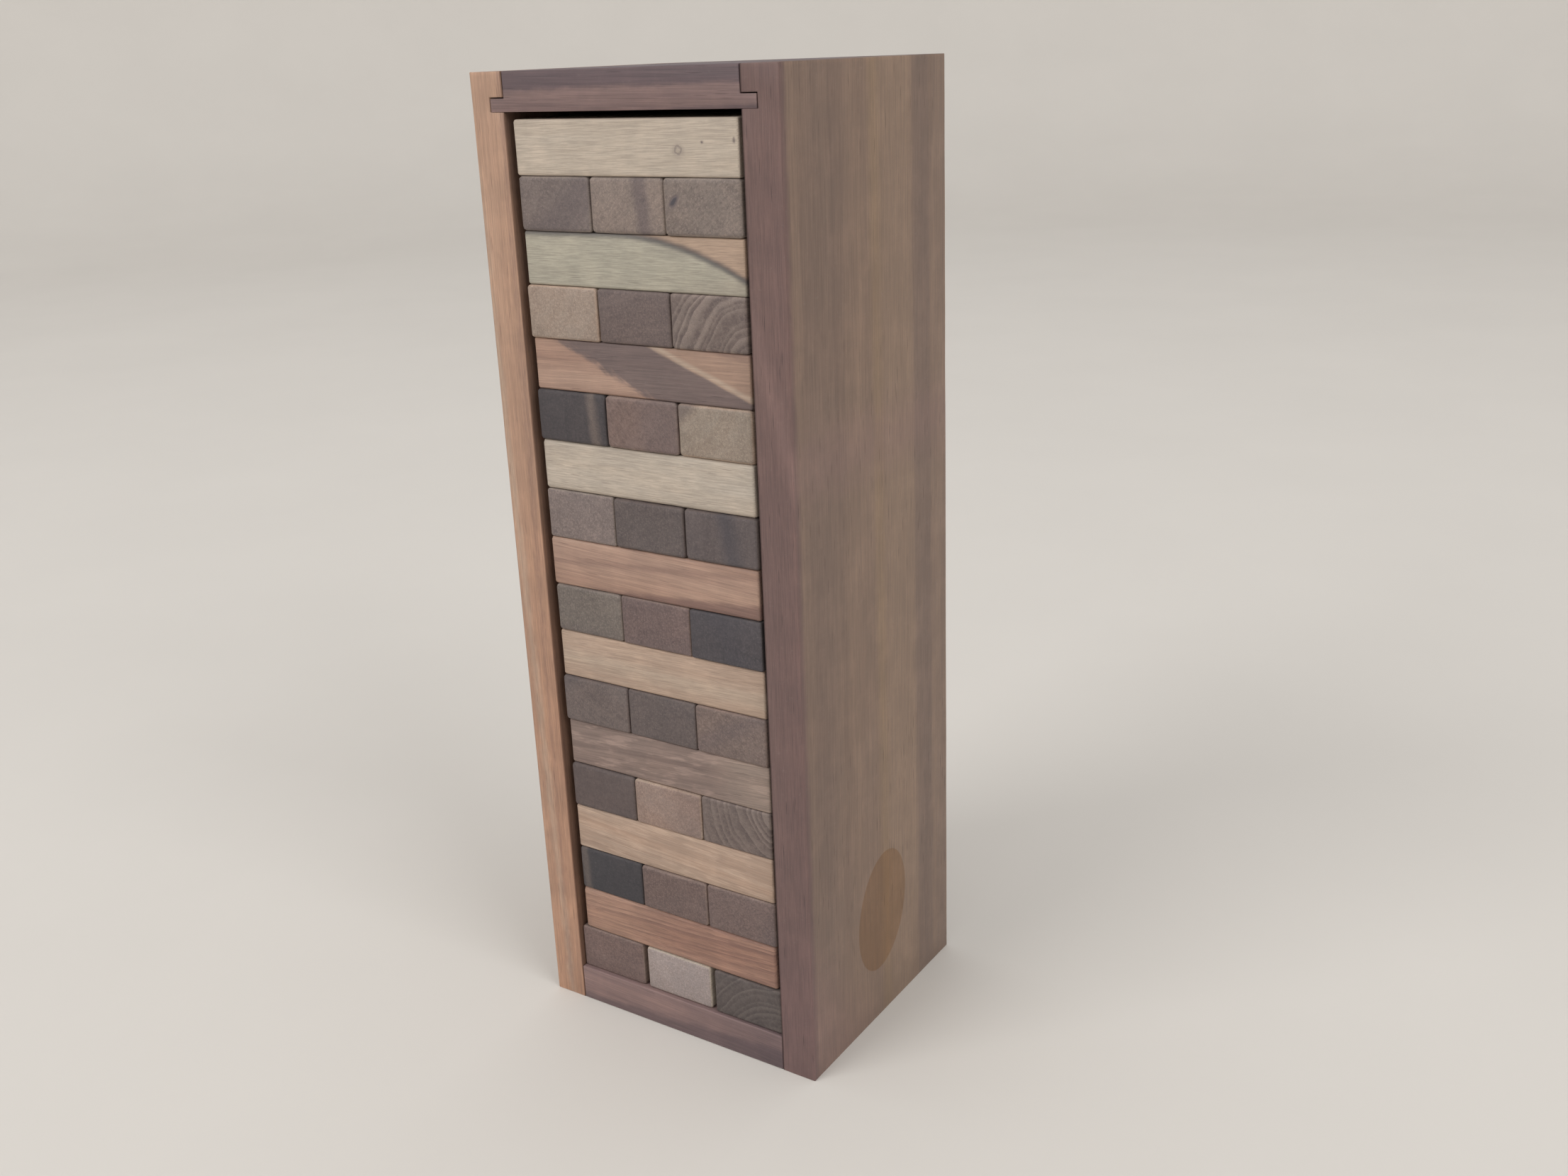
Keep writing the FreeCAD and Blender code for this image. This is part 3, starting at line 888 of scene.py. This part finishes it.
blockLooks = {
    "block_18_front": dict(
        timber="cream", shade=1.06, streaks=0.3, pores=0.4, pith=(0, 30, -50), ringWidth=6,
        knots=[dict(at=(18.6, -12.5, -0.6), size=(1.1, 1, 1.05), core=0.2, rim=0.36, ink="paleSap"),
               dict(at=(26.3, -12.5, 1.4), size=(0.35, 1, 0.3), core=0.7, rim=0.4, ink="duskBrown"),
               dict(at=(36.3, -12.5, 1.9), size=(0.35, 1, 0.6), core=0.6, rim=0.4, ink="duskBrown")]),
    "block_17_left": dict(
        timber="greyBrown", pith=(30, 0, -22), endTone=(0.6, 0.58, 0.61),
        veins=[dict(at=(5, 0, -2), turn=-38, halfWidth=5.5, softness=3.5, strength=0.5)]),
    "block_17_centre": dict(
        timber="greyBrown", pith=(-40, 0, -30), rays=0.35, endTone=(0.8, 0.77, 0.77),
        veins=[dict(at=(5.2, 0, 0), turn=84, halfWidth=2.2, softness=1.2, strength=0.75)]),
    "block_17_right": dict(
        timber="greyBrown", flecks=0.7, rays=0.4, pith=(-40, 0, -40), endTone=(0.66, 0.64, 0.64),
        knots=[dict(at=(-9, -37.8, 1.6), size=(0.9, 1, 1.9), turn=40, core=0.9, rim=0.7, ink="blueBlack")]),
    "block_16_front": dict(
        timber="greyCream", streaks=0.25, pores=0.4, pith=(0, 20, -40), ringWidth=7,
        veins=[dict(at=(22, 0, -9), turn=-12, halfWidth=3, softness=3, strength=0.25, ink="stripTan"),
               above(at=(-6, -12.5, 7.6), bend=-0.0057, waver=0.2, strength=0.85, ink="sapOrange"),
               dict(at=(-6, -12.5, 7.5), bend=-0.0057, halfWidth=0.95, softness=0.85, waver=0.2,
                    strength=0.85, ink="blueBlack")]),
    "block_15_left": dict(timber="paleTan", rings=0.25, pith=(-40, 0, 30), endTone=(0.68, 0.71, 0.74)),
    "block_15_centre": dict(timber="darkBrown", shade=0.94, pith=(10, 0, -70), endTone=(0.95, 0.95, 0.98)),
    "block_15_right": dict(
        timber="laced", rings=0.85, rays=0.25, pith=(18, 0, -16), ringWidth=2.3, flecks=0.1, shade=0.9,
        endTone=(0.8, 0.8, 0.8)),
    "block_14_front": dict(
        timber="apricot", streaks=0.45, pith=(0, 20, 30),
        veins=[above(at=(-13, -12.5, 0), turn=24, softness=1.2, waver=1.5, strength=0.95),
               above(at=(21, -12.5, 0.8), turn=21, waver=0.3, strength=0.9, ink="sapOrange", showsGrain=0.3),
               dict(at=(21, -12.5, 1.7), turn=21, halfWidth=0.7, softness=0.7, waver=0.3, strength=0.6,
                    ink="paleSap"),
               above(at=(32, -12.5, 6.2), turn=8, softness=1.2, waver=1.0, strength=0.5, ink="redBrown")]),
    "block_13_left": dict(
        timber="charcoal", shade=0.9, rings=0.4, pith=(60, 0, 0), endTone=(0.85, 0.83, 0.85),
        veins=[dict(at=(8, 0, 0), turn=86, halfWidth=1.4, softness=1.4, strength=0.55, ink="stripTan")]),
    "block_13_centre": dict(
        timber="midBrown", rings=0.35, rays=0.4, pith=(40, 0, -44), ringWidth=3.4,
        endTone=(0.66, 0.62, 0.63),
        veins=[above(turn=80, softness=2.5, strength=0.35)]),
    "block_13_right": dict(
        timber="paleTan", rings=0.25, pith=(-24, 0, 26), endTone=(0.6, 0.65, 0.67),
        veins=[above(at=(-9, 0, 4.5), turn=-42, softness=1.8, strength=0.6)]),
    "block_12_front": dict(
        timber="cream", streaks=0.3, pores=0.4, pith=(0, 40, 30), ringWidth=8,
        veins=[dict(at=(10, 0, -2), turn=5, halfWidth=2.0, softness=2.0, strength=0.3, ink="paleSap")]),
    "block_11_left": dict(timber="greyBrown", flecks=0.7, pith=(-30, 0, -60), endTone=(0.67, 0.64, 0.68)),
    "block_11_centre": dict(
        timber="darkBrown", flecks=0.7, rays=0.35, pith=(14, 0, -30), shade=0.78, endTone=(0.85, 0.9, 0.95)),
    "block_11_right": dict(
        timber="darkBrown", pith=(60, 0, -10), shade=0.8, endTone=(0.85, 0.9, 0.98),
        veins=[dict(at=(3, 0, 0), turn=80, halfWidth=2.8, softness=2.4, strength=0.7, ink="blueBlack")]),
    "block_10_front": dict(
        timber="apricot", shade=1.01, rings=0.35, pith=(0, 26, 24), tilt=(0, 2.5, 0),
        veins=[dict(at=(22, -12.5, -6.2), turn=-4, halfWidth=2.1, softness=1.0, strength=0.85,
                    ink="redBrown"),
               dict(at=(-20, 0, 1.2), turn=-4, halfWidth=0.7, softness=1.1, waver=0.6, strength=0.4,
                    ink="redBrown")]),
    "block_09_left": dict(
        timber="greyBrown", flecks=0.7, pith=(0, 0, 60), shade=0.9, endTone=(0.6, 0.605, 0.6),
        veins=[above(at=(0, 0, -6), turn=184, softness=3, strength=0.35)]),
    "block_09_centre": dict(
        timber="midBrown", shade=0.92, flecks=0.7, rays=0.4, pith=(-6, 0, 40), endTone=(0.58, 0.55, 0.6)),
    "block_09_right": dict(
        timber="charcoal", flecks=0.7, pith=(0, 0, -40), endTone=(0.9, 0.92, 1.0),
        veins=[dict(at=(0, 0, 2), turn=70, halfWidth=3.5, softness=3.5, strength=0.4, ink="blueBlack")]),
    "block_08_front": dict(
        timber="paleTan", pores=0.4, pith=(0, 30, 36), ringWidth=5,
        veins=[dict(at=(0, 0, -1.5), turn=1, halfWidth=2.2, softness=2.2, strength=0.5, ink="paleSap")]),
    "block_07_left": dict(
        timber="darkBrown", shade=0.9, pith=(30, 0, 50), endTone=(1.0, 1.05, 1.08),
        veins=[above(at=(-9, 0, 5), turn=-40, softness=3, strength=0.4, ink="blueBlack")]),
    "block_07_centre": dict(timber="darkBrown", shade=0.82, pith=(-20, 0, -60), endTone=(0.9, 0.95, 1.0)),
    "block_07_right": dict(
        timber="midBrown", flecks=0.8, rays=0.4, pith=(34, 0, -34), endTone=(0.6, 0.6, 0.61),
        veins=[dict(at=(0, 0, 1.5), turn=-32, halfWidth=2.5, softness=2.5, strength=0.45)]),
    "block_06_front": dict(
        timber="midBrown", streaks=0.6, figure=0.6, pith=(0, 24, 26), tilt=(0, -3, 0), shade=0.95,
        veins=[above(at=(22, 0, 0), turn=80, softness=9, strength=0.45, ink="paleSap", showsGrain=0.5)]),
    "block_05_left": dict(
        timber="darkBrown", flecks=0.3, pith=(0, 0, 70), shade=0.84, endTone=(0.8, 0.78, 0.8)),
    "block_05_centre": dict(
        timber="paleTan", rings=0.2, pith=(-30, 0, -50), endTone=(0.62, 0.585, 0.62),
        veins=[above(at=(3, 0, 0), turn=76, softness=7, waver=1.2, strength=0.3)]),
    "block_05_right": dict(
        timber="laced", rings=0.8, rays=0.15, flecks=0.15, pith=(18, 0, 9), ringWidth=2.5, shade=0.88,
        endTone=(0.76, 0.75, 0.75)),
    "block_04_front": dict(
        timber="paleTan", rings=0.5, streaks=0.7, figure=0.3, pores=0.4, pith=(0, 24, 30), tilt=(0, 3, 0),
        veins=[dict(at=(0, 0, 1), turn=3, halfWidth=6, softness=4, waver=1, strength=0.32, ink="sapOrange",
                    showsGrain=0.4),
               dict(at=(6, 0, -1), turn=5, halfWidth=1.2, softness=1.6, waver=0.9, strength=0.4,
                    ink="sapOrange")]),
    "block_03_left": dict(
        timber="charcoal", shade=0.86, rings=0.2, pith=(-50, 0, 20), endTone=(0.68, 0.72, 0.78),
        veins=[dict(at=(-10.5, 0, 0), turn=88, halfWidth=1.5, softness=1.2, strength=0.4, ink="stripTan")]),
    "block_03_centre": dict(
        timber="midBrown", shade=0.94, flecks=0.7, pith=(20, 0, -70), endTone=(0.57, 0.53, 0.55)),
    "block_03_right": dict(
        timber="midBrown", flecks=0.7, rays=0.35, pith=(50, 0, 30), endTone=(0.57, 0.54, 0.57),
        veins=[above(at=(9, 0, -3), turn=120, softness=4, strength=0.35)]),
    "block_02_front": dict(
        timber="orange", rings=0.9, streaks=0.8, pith=(0, 10, -24), ringWidth=1.6, shade=1.06,
        veins=[above(at=(-14, 0, 0), turn=262, softness=16, waver=0, strength=0.5, ink="sapOrange",
                     showsGrain=0.5)]),
    "block_01_left": dict(
        timber="midBrown", shade=0.92, flecks=0.7, rays=0.35, pith=(4, 0, 50), endTone=(0.61, 0.55, 0.57)),
    "block_01_centre": dict(
        timber="cream", rings=0.15, pores=0.3, pith=(20, 0, 40), endTone=(0.63, 0.605, 0.69)),
    "block_01_right": dict(
        timber="laced", rings=0.6, flecks=0.2, pith=(14, 0, -22), ringWidth=2.1, shade=0.47,
        endTone=(0.85, 0.88, 0.9)),
}
hiddenTimbers = ["paleTan", "midBrown", "honey", "greyBrown", "orange", "darkBrown", "cream", "russet"]


def makeBlocks():
    masters = [makeMaster(index, cut) for index, cut in enumerate(block["masters"])]
    chance = random.Random(block["chanceSeed"])
    for number, node in enumerate(sorted(name for name in frame["nodes"] if name.startswith("block_"))):
        low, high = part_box(node)
        look = dict(blockLooks.get(node) or dict(
            timber=hiddenTimbers[chance.randrange(len(hiddenTimbers))],
            pith=(0, chance.uniform(*block["pithAside"]), chance.uniform(*block["pithAbove"]))))
        look["seed"] = block["seedStep"] * number + block["grainSeed"]
        look["axis"] = "y" if high.y - low.y > high.x - low.x else "x"
        tilt = [chance.uniform(*block["tilt"]) for _ in range(3)]
        look.setdefault("tilt", tilt)
        master = masters[chance.randrange(len(masters))]
        turns = (chance.randrange(2), chance.randrange(2))
        piece = placeBlock(master, node.replace("block", "timber"), low, high, turns)
        finishPiece(piece, node, makeTimber(node + "_wood", look, low, high))
    for master in masters:
        bpy.data.objects.remove(master)


makeBlocks()
print("54 blocks made")
